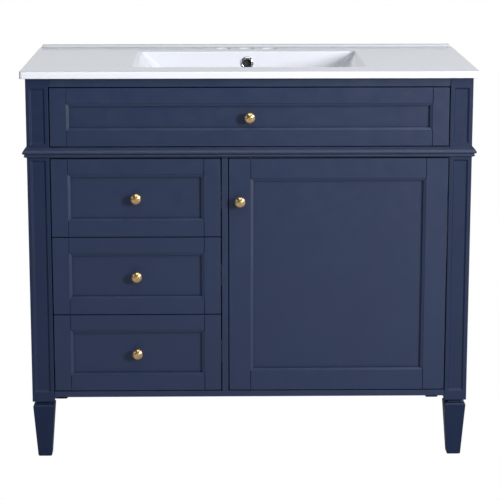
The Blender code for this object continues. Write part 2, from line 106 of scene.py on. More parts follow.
def build_studio():
    """A white room with a white floor, and six soft lights."""
    scene = bpy.context.scene
    scene.view_settings.view_transform = "Standard"
    scene.view_settings.look = "None"

    # The room: white where the camera looks past the object, dim for the light it sheds.
    world = bpy.data.worlds.new("room")
    scene.world = world
    world.use_nodes = True
    tree = world.node_tree
    background = tree.nodes["Background"]
    background.inputs["Color"].default_value = (0.94, 0.97, 1.0, 1.0)
    background.inputs["Strength"].default_value = 0.08
    white = tree.nodes.new("ShaderNodeBackground")
    white.inputs["Color"].default_value = (1.0, 1.0, 1.0, 1.0)
    white.inputs["Strength"].default_value = 1.0
    mix_for_camera(tree, background, white, tree.nodes["World Output"])

    half = 40.0
    data = bpy.data.meshes.new("floor")
    corners = [(-half, -half, 0), (half, -half, 0), (half, half, 0), (-half, half, 0)]
    data.from_pydata(corners, [], [(0, 1, 2, 3)])
    floor = bpy.data.objects.new("floor", data)
    scene.collection.objects.link(floor)
    pale = bpy.data.materials.new("pale_floor")
    pale.use_nodes = True
    tree = pale.node_tree
    tree.nodes.remove(tree.nodes["Principled BSDF"])
    diffuse = tree.nodes.new("ShaderNodeBsdfDiffuse")
    diffuse.inputs["Color"].default_value = (0.55, 0.55, 0.55, 1.0)
    glow = tree.nodes.new("ShaderNodeEmission")
    glow.inputs["Strength"].default_value = 1.0
    mix_for_camera(tree, diffuse, glow, tree.nodes["Material Output"])
    data.materials.append(pale)

    soft_light("key", (2.4, -3.17, 1.65), (0.0, -0.1, 0.45), (0.75, 1.1), 150.0)
    soft_light("strip", (-2.1, -1.9, 1.15), (0.0, -0.2, 0.5), (0.35, 1.2), 5.0)
    soft_light("overhead", (0.3, -2.4, 3.0), (0.0, 0.0, 0.4), (2.4, 1.2), 42.0)
    soft_light("behind", (0.4, 3.2, 1.3), (0.0, 0.0, 0.6), (3.0, 1.8), 12.8, (0.92, 0.96, 1.0))
    for side in (-1, 1):
        soft_light("rear_side", (side * 2.4, 2.5, 0.6), (0.0, 0.2, 0.4), (1.0, 1.4), 38.0)


# ---------------------------------------------------------------- finishes

def finish(name, colour, roughness, metallic=0.0):
    """A material, its principled surface, a function that adds a node to it and one that feeds a node."""
    made = bpy.data.materials.new(name)
    made.use_nodes = True
    made.diffuse_color = (*colour, 1.0)
    tree = made.node_tree
    surface = tree.nodes["Principled BSDF"]
    surface.inputs["Base Color"].default_value = (*colour, 1.0)
    surface.inputs["Roughness"].default_value = roughness
    surface.inputs["Metallic"].default_value = metallic

    def add(kind, inputs=(), **settings):
        node = tree.nodes.new("ShaderNode" + kind)
        for key, value in settings.items():
            setattr(node, key, value)
        feed(node, inputs)
        return node

    def feed(node, inputs):
        for socket, value in dict(inputs).items():
            target = node.inputs[socket]
            if isinstance(value, bpy.types.NodeSocket):
                tree.links.new(value, target)
            else:
                target.default_value = value

    return made, surface, add, feed


def noise(add, place, scale, detail, **more):
    """The factor of a noise texture."""
    inputs = {"Vector": place, "Scale": scale, "Detail": detail, **more}
    return add("TexNoise", inputs).outputs["Fac"]


def spread(add, value, low, high, start=0.3, end=0.7):
    """A factor between start and end turned into a number between low and high."""
    inputs = {"Value": value, "From Min": start, "From Max": end, "To Min": low, "To Max": high}
    return add("MapRange", inputs).outputs["Result"]


def mix_colour(add, factor, first, second):
    """Colour sockets of the Mix node share their names with its other types, so they are found by type."""
    node = add("Mix", data_type="RGBA")
    sockets = [s for s in node.inputs if s.type == "RGBA"]
    links = node.id_data.links
    for socket, value in ((node.inputs["Factor"], factor), (sockets[0], first), (sockets[1], second)):
        if isinstance(value, bpy.types.NodeSocket):
            links.new(value, socket)
        else:
            socket.default_value = (*value, 1.0) if isinstance(value, tuple) else value
    return next(s for s in node.outputs if s.type == "RGBA")


def navy_paint(name="navy_paint", depth=1.0, gloss=0.5):
    """The satin paint. A lower depth gives a darker copy of the colour, which is painted shade for pieces that
    should look less lit; a lower gloss makes a duller coat.
    """
    # A depth below 1 darkens the colour: painted shade.
    colour = Vector((0.0100, 0.0210, 0.0610)) * depth
    made, surface, add, feed = finish(name, tuple(colour), 0.42)
    place = add("TexCoord").outputs["Object"]
    cloud = noise(add, place, 5.0, 4.0, Roughness=0.6)
    tone = mix_colour(add, spread(add, cloud, 0.0, 1.0), tuple(colour * 0.95), tuple(colour * 1.05))
    peel = noise(add, place, 650.0, 2.0)
    flow = noise(add, place, 45.0, 3.0)
    rough = spread(add, flow, 0.37, 0.46)
    height = add("Math", {0: peel, 1: flow}, operation="ADD").outputs[0]
    bump = add("Bump", {"Height": height, "Strength": 0.12, "Distance": 0.0002})
    feed(surface, {"Base Color": tone, "Roughness": rough, "Normal": bump.outputs["Normal"]})
    surface.inputs["Specular IOR Level"].default_value = gloss
    return made


def white_ceramic():
    """White glaze under a thin clear coat."""
    made, surface, add, feed = finish("white_ceramic", (0.767, 0.786, 0.846), 0.10)
    place = add("TexCoord").outputs["Object"]
    cloud = noise(add, place, 9.0, 3.0)
    tone = mix_colour(add, spread(add, cloud, 0.0, 1.0), (0.762, 0.781, 0.841), (0.772, 0.791, 0.851))
    pits = noise(add, place, 300.0, 2.0)
    rough = spread(add, pits, 0.07, 0.13)
    feed(surface, {"Base Color": tone, "Roughness": rough})
    surface.inputs["Coat Weight"].default_value = 0.4
    surface.inputs["Coat Roughness"].default_value = 0.04
    return made


def satin_brass():
    """Brass spun on a lathe, so that its highlights run out from the axis, which is its object's Y."""
    made, surface, add, feed = finish("satin_brass", (0.75, 0.52, 0.25), 0.30, 1.0)
    place = add("TexCoord").outputs["Object"]
    cloud = noise(add, place, 120.0, 3.0)
    tone = mix_colour(add, spread(add, cloud, 0.0, 1.0), (0.72, 0.49, 0.22), (0.78, 0.55, 0.28))
    turning = add("TexWave", {"Vector": place, "Scale": 700.0, "Distortion": 1.5, "Detail": 2.0},
                  wave_type="RINGS", rings_direction="Y").outputs["Fac"]
    rough = spread(add, turning, 0.25, 0.34, 0.0, 1.0)
    bump = add("Bump", {"Height": turning, "Strength": 0.05, "Distance": 0.00004})
    around = add("Tangent", direction_type="RADIAL", axis="Y").outputs["Tangent"]
    feed(surface, {"Base Color": tone, "Roughness": rough, "Normal": bump.outputs["Normal"], "Tangent": around})
    surface.inputs["Anisotropic"].default_value = 0.8
    surface.inputs["Anisotropic Rotation"].default_value = 0.25
    return made


def chrome():
    """Polished chrome with a faint film on it."""
    made, surface, add, feed = finish("chrome", (0.72, 0.73, 0.75), 0.07, 1.0)
    place = add("TexCoord").outputs["Object"]
    film = noise(add, place, 160.0, 4.0)
    tone = mix_colour(add, spread(add, film, 0.0, 1.0), (0.68, 0.69, 0.71), (0.76, 0.77, 0.79))
    feed(surface, {"Base Color": tone, "Roughness": spread(add, film, 0.04, 0.12)})
    return made


def zinc_steel():
    """Zinc plate with its spangle, over steel drawn along Y."""
    made, surface, add, feed = finish("zinc_steel", (0.56, 0.57, 0.58), 0.36, 1.0)
    place = add("TexCoord").outputs["Object"]
    stretch = add("Mapping", {"Vector": place, "Scale": (900.0, 40.0, 900.0)}).outputs[0]
    drawn = noise(add, stretch, 1.0, 3.0)
    spangle = noise(add, place, 90.0, 3.0)
    tone = mix_colour(add, spread(add, spangle, 0.0, 1.0), (0.50, 0.51, 0.52), (0.62, 0.63, 0.64))
    bump = add("Bump", {"Height": drawn, "Strength": 0.10, "Distance": 0.0001})
    feed(surface, {"Base Color": tone, "Roughness": spread(add, drawn, 0.30, 0.44),
                   "Normal": bump.outputs["Normal"]})
    return made


def white_plastic():
    """Moulded plastic with a fine grain."""
    made, surface, add, feed = finish("white_plastic", (0.80, 0.80, 0.78), 0.42)
    place = add("TexCoord").outputs["Object"]
    grit = noise(add, place, 1400.0, 2.0)
    cloud = noise(add, place, 20.0, 2.0)
    tone = mix_colour(add, spread(add, cloud, 0.0, 1.0), (0.78, 0.78, 0.76), (0.82, 0.82, 0.80))
    bump = add("Bump", {"Height": grit, "Strength": 0.25, "Distance": 0.0001})
    feed(surface, {"Base Color": tone, "Roughness": spread(add, cloud, 0.36, 0.46),
                   "Normal": bump.outputs["Normal"]})
    return made


def black_finish():
    """Blackened metal or rubber, nearly matt. The overflow's dark plug uses it as painted shade."""
    made, surface, add, feed = finish("black_finish", (0.012, 0.012, 0.013), 0.7)
    place = add("TexCoord").outputs["Object"]
    grit = noise(add, place, 1100.0, 2.0)
    tone = mix_colour(add, spread(add, grit, 0.0, 1.0), (0.010, 0.010, 0.011), (0.017, 0.017, 0.018))
    feed(surface, {"Base Color": tone, "Roughness": spread(add, grit, 0.60, 0.78)})
    return made


def birch_ply(name, along, through):
    """Plywood with its grain along one axis and its plies stacked along another (0 = X, 1 = Y, 2 = Z)."""
    made, surface, add, feed = finish(name, (0.66, 0.51, 0.35), 0.50)
    coordinates = add("TexCoord")
    place = coordinates.outputs["Object"]
    scale = [14.0, 14.0, 14.0]
    scale[along] = 1.1
    stretched = add("Mapping", {"Vector": place, "Scale": scale}).outputs[0]
    warp = noise(add, stretched, 1.0, 5.0, Distortion=1.2)
    rings = add("Math", {0: warp, 1: 9.0}, operation="MULTIPLY").outputs[0]
    rings = add("Math", {0: rings}, operation="FRACT").outputs[0]
    rings = add("Math", {0: rings, 1: 1.0}, operation="PINGPONG").outputs[0]
    fine_scale = [900.0, 900.0, 900.0]
    fine_scale[along] = 22.0
    fine = add("Mapping", {"Vector": place, "Scale": fine_scale}).outputs[0]
    pores = noise(add, fine, 1.0, 2.0)
    face = mix_colour(add, spread(add, rings, 0.0, 1.0, 0.0, 1.0), (0.70, 0.55, 0.38), (0.60, 0.45, 0.29))
    face = mix_colour(add, spread(add, pores, 0.0, 0.5, 0.55, 0.85), face, (0.47, 0.33, 0.20))

    # The edges show the plies, alternately pale long grain and darker end grain.
    split = add("SeparateXYZ", {"Vector": place}).outputs[through]
    layer = add("Math", {0: split, 1: 1 / 0.0030}, operation="MULTIPLY").outputs[0]
    layer = add("Math", {0: layer}, operation="FRACT").outputs[0]
    layer = add("Math", {0: layer, 1: 0.5}, operation="GREATER_THAN").outputs[0]
    edge = mix_colour(add, layer, (0.68, 0.54, 0.37), (0.36, 0.24, 0.14))
    edge = mix_colour(add, spread(add, pores, 0.0, 0.4), edge, (0.30, 0.20, 0.12))
    normal = add("SeparateXYZ", {"Vector": coordinates.outputs["Normal"]}).outputs[through]
    facing = add("Math", {0: normal}, operation="ABSOLUTE").outputs[0]
    on_face = add("Math", {0: facing, 1: 0.6}, operation="GREATER_THAN").outputs[0]
    tone = mix_colour(add, on_face, edge, face)
    bump = add("Bump", {"Height": pores, "Strength": 0.25, "Distance": 0.0002})
    feed(surface, {"Base Color": tone, "Roughness": spread(add, pores, 0.42, 0.60),
                   "Normal": bump.outputs["Normal"]})
    return made


build_camera()
build_studio()
PAINT = navy_paint()
# A darker copy of the paint for the posts: painted shade.
PAINT_POST_SHADED = navy_paint("navy_paint_post", 0.86, 0.34)
# A still darker copy for the feet: painted shade for their downward-tilted faces near the floor.
PAINT_FOOT_SHADED = navy_paint("navy_paint_foot_shaded", 0.76, 0.20)
CERAMIC = white_ceramic()
BRASS = satin_brass()
CHROME = chrome()
STEEL = zinc_steel()
PLASTIC = white_plastic()
DARK = black_finish()
PLY_FLAT = birch_ply("birch_ply_flat", 0, 2)
PLY_SIDE = birch_ply("birch_ply_side", 1, 0)
PLY_BACK = birch_ply("birch_ply_back", 0, 1)


# ---------------------------------------------------------------- building pieces

def piece(name, mesh, materials, slot, body, *replaced, sharp=35, origin=(0, 0, 0)):
    """A new piece from a bmesh about its origin. It rides on a body and may stand for CAD nodes."""
    bmesh.ops.recalc_face_normals(mesh, faces=mesh.faces)
    data = bpy.data.meshes.new(name)
    mesh.to_mesh(data)
    mesh.free()
    made = bpy.data.objects.new(name, data)
    bpy.context.scene.collection.objects.link(made)
    for material in materials if isinstance(materials, (list, tuple)) else [materials]:
        data.materials.append(material)
    data.shade_smooth()
    data.set_sharp_from_angle(angle=math.radians(sharp))
    made.location = origin
    bpy.context.view_layer.update()
    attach(made, body)
    if replaced:
        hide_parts(*replaced)
    return made


def loft(rings, closed=False, into=None, material=0):
    """A solid through rings of equally many points: capped at both ends, or joined last to first."""
    mesh = into or bmesh.new()
    rows = [[mesh.verts.new(point) for point in ring] for ring in rings]
    count = len(rows[0])
    pairs = list(zip(rows, rows[1:]))
    if closed:
        pairs.append((rows[-1], rows[0]))
    faces = []
    for near, far in pairs:
        for i in range(count):
            j = (i + 1) % count
            faces.append(mesh.faces.new((near[i], near[j], far[j], far[i])))
    if not closed:
        faces.append(mesh.faces.new(rows[0]))
        faces.append(mesh.faces.new(rows[-1]))
    for face in faces:
        face.material_index = material
    bmesh.ops.recalc_face_normals(mesh, faces=faces)
    return mesh


def block(low, high, into=None, material=0):
    """A box between its lowest and its highest corner."""
    (x0, y0, z0), (x1, y1, z1) = low, high
    rings = [[(x0, y0, z), (x1, y0, z), (x1, y1, z), (x0, y1, z)] for z in (z0, z1)]
    return loft(rings, into=into, material=material)


def prism(outline, low, high, axis):
    """An outline of two coordinates, drawn out along the third one (0 = X, 1 = Y, 2 = Z)."""
    rings = []
    for level in (low, high):
        ring = []
        for point in outline:
            spot = list(point)
            spot.insert(axis, level)
            ring.append(tuple(spot))
        rings.append(ring)
    return loft(rings)


def rounded_outline(x, y, half_x, half_y, radius):
    """A rectangle with round corners, five points to each. The half sizes run to the corners' centres."""
    return [(x + sx * half_x + radius * math.cos(a), y + sy * half_y + radius * math.sin(a))
            for sx, sy, turn in ((1, 1, 0), (-1, 1, 1), (-1, -1, 2), (1, -1, 3))
            for a in (math.pi / 2 * (turn + i / 4) for i in range(5))]


def slot_outline(x, y, half_x, radius):
    """A slot with round ends, along the first coordinate. The half size runs to the ends' centres."""
    return [(x + half_x * math.copysign(1, math.cos(a)) + radius * math.cos(a), y + radius * math.sin(a))
            for a in (math.tau * (i + 0.5) / 16 for i in range(16))]


def turned(profile, centre, axis, segments, into=None, material=0):
    """A solid turned about the line through centre along axis, from pairs of distance along it and radius."""
    axis, centre = Vector(axis).normalized(), Vector(centre)
    side = axis.orthogonal().normalized()
    up = axis.cross(side)
    mesh = into or bmesh.new()
    rows = []
    for along, radius in profile:
        middle = centre + along * axis
        if radius == 0:
            rows.append([mesh.verts.new(middle)])
            continue
        angles = [math.tau * (i + 0.5) / segments for i in range(segments)]
        rows.append([mesh.verts.new(middle + radius * (math.cos(a) * side + math.sin(a) * up)) for a in angles])
    faces = []
    for near, far in zip(rows, rows[1:]):
        for i in range(segments):
            j = (i + 1) % segments
            corners = [near[i % len(near)], near[j % len(near)], far[j % len(far)], far[i % len(far)]]
            faces.append(mesh.faces.new(list(dict.fromkeys(corners))))
    for face in faces:
        face.material_index = material
    bmesh.ops.recalc_face_normals(mesh, faces=faces)
    return mesh


def smooth_profile(points, steps):
    """Points of a curve that passes through all the given ones (a Catmull-Rom spline), steps to each span."""
    ends = [points[0]] + list(points) + [points[-1]]
    made = []
    for a, b, c, d in zip(ends, ends[1:], ends[2:], ends[3:]):
        for i in range(steps):
            t = i / steps
            made.append(tuple(
                0.5 * (2 * q + (r - p) * t + (2 * p - 5 * q + 4 * r - s) * t * t
                       + (3 * q - p - 3 * r + s) * t ** 3)
                for p, q, r, s in zip(a, b, c, d)))
    made.append(tuple(points[-1]))
    return made


def evaluated(mesh, kind, **settings):
    """A mesh after a modifier with the given settings, in which a bmesh stands for an object."""
    scratch = []

    def hold(source):
        data = bpy.data.meshes.new("scratch")
        source.to_mesh(data)
        source.free()
        scratch.append(bpy.data.objects.new("scratch", data))
        bpy.context.scene.collection.objects.link(scratch[-1])
        return scratch[-1]

    holder = hold(mesh)
    step = holder.modifiers.new(kind.lower(), kind)
    for key, value in settings.items():
        setattr(step, key, hold(value) if isinstance(value, bmesh.types.BMesh) else value)
    result = bmesh.new()
    result.from_object(holder, bpy.context.evaluated_depsgraph_get())
    for old in scratch:
        data = old.data
        bpy.data.objects.remove(old, do_unlink=True)
        bpy.data.meshes.remove(data)
    return result


def cut(mesh, other, operation="DIFFERENCE"):
    """A mesh less another one, or united or intersected with it."""
    return evaluated(mesh, "BOOLEAN", operation=operation, object=other, solver="EXACT")


def rounded(mesh, width, segments, angle=30):
    """A mesh with its edges rounded, where its faces meet at more than an angle in degrees."""
    return evaluated(mesh, "BEVEL", width=width, segments=segments, limit_method="ANGLE",
                     angle_limit=math.radians(angle), use_clamp_overlap=True)


def append(target, mesh):
    """Puts a bmesh into another one."""
    data = bpy.data.meshes.new("scratch")
    mesh.to_mesh(data)
    mesh.free()
    target.from_mesh(data)
    bpy.data.meshes.remove(data)
    return target


def weighted(made):
    """Shades an object's large faces flat and lets its small rounded edges carry the bend."""
    step = made.modifiers.new("shade", "WEIGHTED_NORMAL")
    step.keep_sharp = False
    step.weight = 80
    return made


# ---------------------------------------------------------------- CAD nodes that stay

def soften(node, width, segments):
    """Rounds a CAD node's edges: the triangles are merged back into faces first."""
    step = node.modifiers.new("weld", "WELD")
    step.merge_threshold = 0.00002
    step = node.modifiers.new("flat", "DECIMATE")
    step.decimate_type = "DISSOLVE"
    step.angle_limit = math.radians(1)
    step = node.modifiers.new("round", "BEVEL")
    step.width = width
    step.segments = segments
    step.limit_method = "ANGLE"
    step.angle_limit = math.radians(30)
    step = node.modifiers.new("shade", "WEIGHTED_NORMAL")
    step.keep_sharp = False


def set_finish(node, material):
    """Gives a CAD node one material."""
    node.data.materials.clear()
    node.data.materials.append(material)


# Planes and sizes that several pieces share.
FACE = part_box("top_rail")[0].y
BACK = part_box("back_rail_top")[1].y
CARCASS_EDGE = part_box("post_front_right")[1].x
POST_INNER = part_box("post_front_right")[0].x
THICK = 0.018
REVEAL = 0.0021


# ---------------------------------------------------------------- countertop

TOP_LOW, TOP_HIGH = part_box("countertop")
LIP_HEIGHT = 0.006
LIP_DEPTH = 0.014
LIP_INSET = 0.0055
DECK = TOP_HIGH.z - LIP_HEIGHT
TOP_EDGE = 0.0145
TOP_CORNER = 0.0085
BASIN_FRONT = TOP_LOW.y + 0.077
BASIN_BACK = BASIN_FRONT + 0.290
BASIN_WIDTH = 0.465
DRAIN_RADIUS = 0.0225
OVERFLOW_LEVEL = DECK - 0.026
FAUCET_HOLE = 0.0165
FAUCET_SPACING = 0.0508
FAUCET_SETBACK = 0.0395
CORNER_POINTS = 12


def corner_ring(half_x, front, back, radius, level):
    """A level rectangle with round corners, for the slab and the bowl."""
    ring = []
    for x, y, quarter in ((half_x, back, 0), (-half_x, back, 1), (-half_x, front, 2), (half_x, front, 3)):
        centre = (x - math.copysign(radius, x), back - radius if y == back else front + radius)
        for i in range(CORNER_POINTS):
            angle = math.pi / 2 * (quarter + i / (CORNER_POINTS - 1))
            ring.append((centre[0] + radius * math.cos(angle), centre[1] + radius * math.sin(angle), level))
    return ring


def round_ring(middle_y, radius, level):
    """A level circle with as many points as a corner ring."""
    count = 4 * CORNER_POINTS
    angles = [math.tau * (i + 0.5) / count for i in range(count)]
    return [(radius * math.cos(a), middle_y + radius * math.sin(a), level) for a in angles]


def quarter(steps):
    """Sine and cosine pairs through a quarter turn."""
    return [(math.sin(math.pi / 2 * i / steps), math.cos(math.pi / 2 * i / steps)) for i in range(steps + 1)]


def build_countertop():
    """The slab, bowl and lip in one piece, with the drain, the faucet holes and the overflow hole."""
    half = TOP_HIGH.x
    back = TOP_HIGH.y
    under = DECK - TOP_EDGE
    # The slab's edge from its underside round to the deck: inset and height.
    low, high = 0.002, 0.0035
    edge = [(low * (1 - s), under + low * (1 - c)) for s, c in quarter(3)]
    edge += [(high * (1 - c), DECK - high * (1 - s)) for s, c in quarter(6)]
    rings = [corner_ring(half - inset, TOP_LOW.y + inset, back - inset, TOP_CORNER - inset, level)
             for inset, level in edge]
    rings.append(corner_ring(half - 0.006, TOP_LOW.y + 0.006, back - 0.006, 0.0045, DECK))

    def bowl(steps):
        return [corner_ring(BASIN_WIDTH / 2 - sides, BASIN_FRONT + fore, BASIN_BACK - aft, radius, DECK - depth)
                for depth, sides, fore, aft, radius in steps]

    # Inside of the bowl from its rim down: depth, how far the sides, the front and the back have come in,
    # and the corner radius.
    rings += bowl([(0.0, -0.0075, -0.0075, -0.0075, 0.0185)])
    inside = smooth_profile([
        (0.0000, -0.0050, -0.0050, -0.0050, 0.0160),
        (0.0005, -0.0027, -0.0028, -0.0028, 0.0138),
        (0.0018, -0.0007, -0.0011, -0.0012, 0.0124),
        (0.0042, 0.0017, -0.0003, -0.0004, 0.0120),
        (0.0130, 0.0098, 0.0010, 0.0000, 0.0145),
        (0.0350, 0.0290, 0.0060, 0.0015, 0.0220),
        (0.0600, 0.0415, 0.0110, 0.0032, 0.0285),
        (0.0820, 0.0505, 0.0165, 0.0062, 0.0350),
        (0.1000, 0.0575, 0.0235, 0.0130, 0.0420),
        (0.1120, 0.0655, 0.0335, 0.0240, 0.0490),
        (0.1185, 0.0770, 0.0460, 0.0380, 0.0530),
        (0.1210, 0.0910, 0.0600, 0.0530, 0.0540)], 3)
    rings += bowl(inside)

    # Its floor runs to a round dish, and from there into the drain's rounded seat and bore.
    middle, drain = (BASIN_FRONT + BASIN_BACK) / 2, DRAIN_RADIUS
    depth, sides, fore, aft, radius = inside[-1]
    rim = corner_ring(BASIN_WIDTH / 2 - sides, BASIN_FRONT + fore, BASIN_BACK - aft, radius, DECK - depth)
    for t in (0.25, 0.5, 0.75):
        circle = round_ring(middle, drain + 0.004, DECK - 0.1255)
        rings.append([tuple(Vector(a).lerp(Vector(b), t)) for a, b in zip(rim, circle)])
    rings.append(round_ring(middle, drain + 0.0040, DECK - 0.1250))
    rings += [round_ring(middle, drain + 0.0022 * (1 - s), DECK - 0.1256 - 0.0020 * (1 - c))
              for s, c in quarter(4)]
    rings.append(round_ring(middle, drain, DECK - 0.1365))

    # Outside of the bowl, from the drain up to the slab's underside.
    rings += bowl([
        (0.1340, 0.078, 0.044, 0.037, 0.052),
        (0.1290, 0.064, 0.030, 0.022, 0.051),
        (0.1200, 0.050, 0.018, 0.008, 0.050),
        (0.1030, 0.043, 0.010, -0.001, 0.046),
        (0.0840, 0.037, 0.004, -0.0065, 0.042),
        (0.0600, 0.028, -0.001, -0.0085, 0.038),
        (0.0380, 0.017, -0.0055, -0.0095, 0.034),
        (TOP_EDGE + 0.004, -0.001, -0.010, -0.0105, 0.029),
        (TOP_EDGE, -0.006, -0.014, -0.014, 0.029)])
    top = loft(rings, True)

    # The lip rises from the deck in a hollow slope and has a round top.
    front = back - 0.0006 - LIP_DEPTH
    section = [(-0.0052, -0.004), (-0.0052, -0.0001)]
    section += smooth_profile([(-0.0050, 0.0001), (-0.0028, 0.0006), (0.0000, 0.0023), (0.0024, 0.0043),
                               (0.0050, 0.0055), (0.0080, LIP_HEIGHT)], 3)
    section += [(LIP_DEPTH - 0.0030 * (1 - s), LIP_HEIGHT - 0.0030 * (1 - c)) for s, c in quarter(4)]
    section += [(LIP_DEPTH, -0.004)]
    end = half - LIP_INSET
    stations = [(-end + 0.0045 * (1 - c), s) for s, c in quarter(7)][1:]
    stations += [(-x, rise) for x, rise in reversed(stations)]
    lip = loft([[(x, front + y, DECK + (z * rise if z > 0 else z)) for y, z in section]
                for x, rise in stations])
    top = cut(top, lip, "UNION")

    # Faucet holes, each with a rounded rim, and the overflow hole.
    hole = FAUCET_HOLE
    flare = [(0.0, hole), (0.0300, hole)]
    flare += [(0.0300 + 0.0022 * s, hole + 0.0022 * (1 - c)) for s, c in quarter(4)][1:]
    flare += [(0.0340, hole + 0.0022)]
    profile = [(0.0, 0.0)] + flare + [(0.0340, 0.0)]
    for side in (-1, 0, 1):
        start = (side * FAUCET_SPACING, back - FAUCET_SETBACK, DECK - 0.0320)
        top = cut(top, turned(profile, start, (0, 0, 1), 40))
    start = (0, BASIN_BACK - 0.02, OVERFLOW_LEVEL)
    top = cut(top, turned([(0, 0), (0, 0.0112), (0.05, 0.0112), (0.05, 0)], start, (0, 1, 0), 40))
    weighted(piece("ceramic_top", top, CERAMIC, "ceramic", "cabinet", "countertop", sharp=50))


def build_overflow_ring():
    """The chrome ring in the bowl's back wall, and a dark plug inside it: painted shade, standing for the shade
    down the overflow's channel.
    """
    wall = BASIN_BACK - 0.0012
    bore, outer, sleeve = 0.0088, 0.0142, 0.0105
    profile = [(-0.0003, sleeve), (-0.0003, outer - 0.0003)]
    profile += [(-0.0009 - 0.0022 * s, outer - 0.0030 * (1 - c)) for s, c in quarter(6)]
    profile += [(-0.0031 + 0.0024 * (1 - c), bore + 0.0022 * (1 - s)) for s, c in quarter(5)]
    profile += [(0.0085, bore), (0.0085, sleeve)]
    count = 56
    angles = [math.tau * i / count for i in range(count)]
    rings = [[(radius * math.cos(a), wall + along, OVERFLOW_LEVEL + radius * math.sin(a)) for a in angles]
             for along, radius in profile]
    piece("overflow_ring_chrome", loft(rings, True), CHROME, "chrome", "cabinet", "overflow_ring", sharp=40)
    # A dark plug closes the ring: painted shade where the overflow channel would lie in shade.
    plug = turned([(0.0062, 0), (0.0062, 0.0080), (0.0066, 0.0086), (0.0090, 0.0086), (0.0090, 0)],
                  (0, wall, OVERFLOW_LEVEL), (0, 1, 0), 40)
    piece("overflow_insert", plug, DARK, "plastic", "cabinet")


# ---------------------------------------------------------------- fronts

BEVEL = 0.0056
BEVEL_DEPTH = 0.0021
SETBACK = 0.0073
RABBET = 0.006
STEP = (0.0006, 0.0008)
JOINT = 0.0011
JOINT_DEPTH = 0.0024
MITRE = 0.0001
KNOB_REACH = 0.025


def front_boards(low, high, stile, rail):
    """The two stiles and two rails of a framed front, with upright joints and mitred bevels."""
    x0, x1, z0, z1, face = low.x, high.x, low.z, high.z, low.y
    section = ((0, 0, 0), (1, 0, 0), (1, *STEP), (1, BEVEL, BEVEL_DEPTH), (1, BEVEL, SETBACK - GAP))
    section += ((1, -RABBET, SETBACK - GAP), (1, -RABBET, THICK), (0, 0, THICK))

    def ring_loft():
        rings = []
        for opening, inward, depth in section:
            dx, dz, y = opening * stile + inward, opening * rail + inward, face + depth
            rings.append([(x0 + dx, y, z0 + dz), (x1 - dx, y, z0 + dz),
                          (x1 - dx, y, z1 - dz), (x0 + dx, y, z1 - dz)])
        return loft(rings, True)

    over, reach = 0.01, 0.012
    a, b = x0 + stile, x1 - stile
    c, d = z0 + rail, z1 - rail
    j, m = JOINT / 2, MITRE / 2
    regions = {
        "stile_left": [(x0 - over, z0 - over), (a - j, z0 - over), (a - j, c - j + m),
                       (a + reach, c + reach + m), (a + reach, d - reach - m), (a - j, d + j - m),
                       (a - j, z1 + over), (x0 - over, z1 + over)],
        "rail_low": [(a + j, z0 - over), (b - j, z0 - over), (b - j, c + j - m), (b - reach, c + reach - m),
                     (a + reach, c + reach - m), (a + j, c + j - m)],
    }
    middle_x, middle_z = (x0 + x1) / 2, (z0 + z1) / 2
    regions["stile_right"] = [(2 * middle_x - x, z) for x, z in reversed(regions["stile_left"])]
    regions["rail_high"] = [(x, 2 * middle_z - z) for x, z in reversed(regions["rail_low"])]
    whole = bmesh.new()
    for outline in regions.values():
        board = cut(ring_loft(), prism(outline, face - 0.005, face + THICK + 0.005, 1), "INTERSECT")
        bmesh.ops.remove_doubles(board, verts=board.verts, dist=0.00001)
        bmesh.ops.dissolve_limit(board, angle_limit=math.radians(1), verts=board.verts, edges=board.edges)
        append(whole, rounded(board, 0.0005, 2))

    # The upright joints show as fine grooves, closed by a tongue a little way in.
    for x in (a, b):
        for foot, head in ((z0 + 0.0008, c - RABBET - 0.0006), (d + RABBET + 0.0006, z1 - 0.0008)):
            block((x - 0.003, face + JOINT_DEPTH, foot), (x + 0.003, face + THICK - 0.003, head), whole)
    return whole


def build_front(name, stile, rail):
    """The boards of a drawer's or door's frame, with its stiles and rails as wide as given."""
    node = name + "_frame"
    boards = front_boards(*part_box(node), stile, rail)
    weighted(piece(name + "_boards", boards, PAINT, "paint", name, node))


def build_knob(name, body):
    """A turned mushroom knob, made about its own origin so that its finish turns with it."""
    low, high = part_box(name)
    x, z = (low.x + high.x) / 2, (low.z + high.z) / 2
    base = low.y + KNOB_REACH
    rose = [(-0.0004, 0.0), (-0.0004, 0.0062), (0.0003, 0.0063), (0.0012, 0.0062), (0.0018, 0.0059)]
    stem = smooth_profile([
        (0.0018, 0.0056), (0.0034, 0.0050), (0.0056, 0.0045), (0.0084, 0.0045), (0.0110, 0.0051),
        (0.0130, 0.0064), (0.0147, 0.0083), (0.0163, 0.0098), (0.0180, 0.0106), (0.0198, 0.0108),
        (0.0213, 0.01045), (0.0226, 0.0093), (0.0236, 0.0076), (0.0243, 0.0054), (0.0248, 0.0028)], 3)
    head = turned(rose + stem + [(0.0250, 0.0)], (0, 0, 0), (0, -1, 0), 56)
    grip = high.y - base
    screw = [(-grip, 0), (-grip, 0.0030), (-grip + 0.0004, 0.0038), (-grip + 0.0012, 0.0042),
             (-grip + 0.0023, 0.0042), (-grip + 0.0023, 0.0020), (-0.0003, 0.0020), (-0.0003, 0)]
    shank = turned(screw, (0, 0, 0), (0, -1, 0), 24)
    for turn in (0, math.pi / 2):
        slot = block((-0.0024, grip - 0.0012, -0.0004), (0.0024, grip + 0.001, 0.0004))
        bmesh.ops.rotate(slot, verts=slot.verts, cent=(0, 0, 0), matrix=Matrix.Rotation(turn + 0.3, 3, "Y"))
        shank = cut(shank, slot)
    origin = (x, base, z)
    piece(name + "_turned", head, BRASS, "brass", body, name, origin=origin)
    piece(name + "_screw", shank, STEEL, "steel", body, origin=origin)


# ---------------------------------------------------------------- moulding and feet

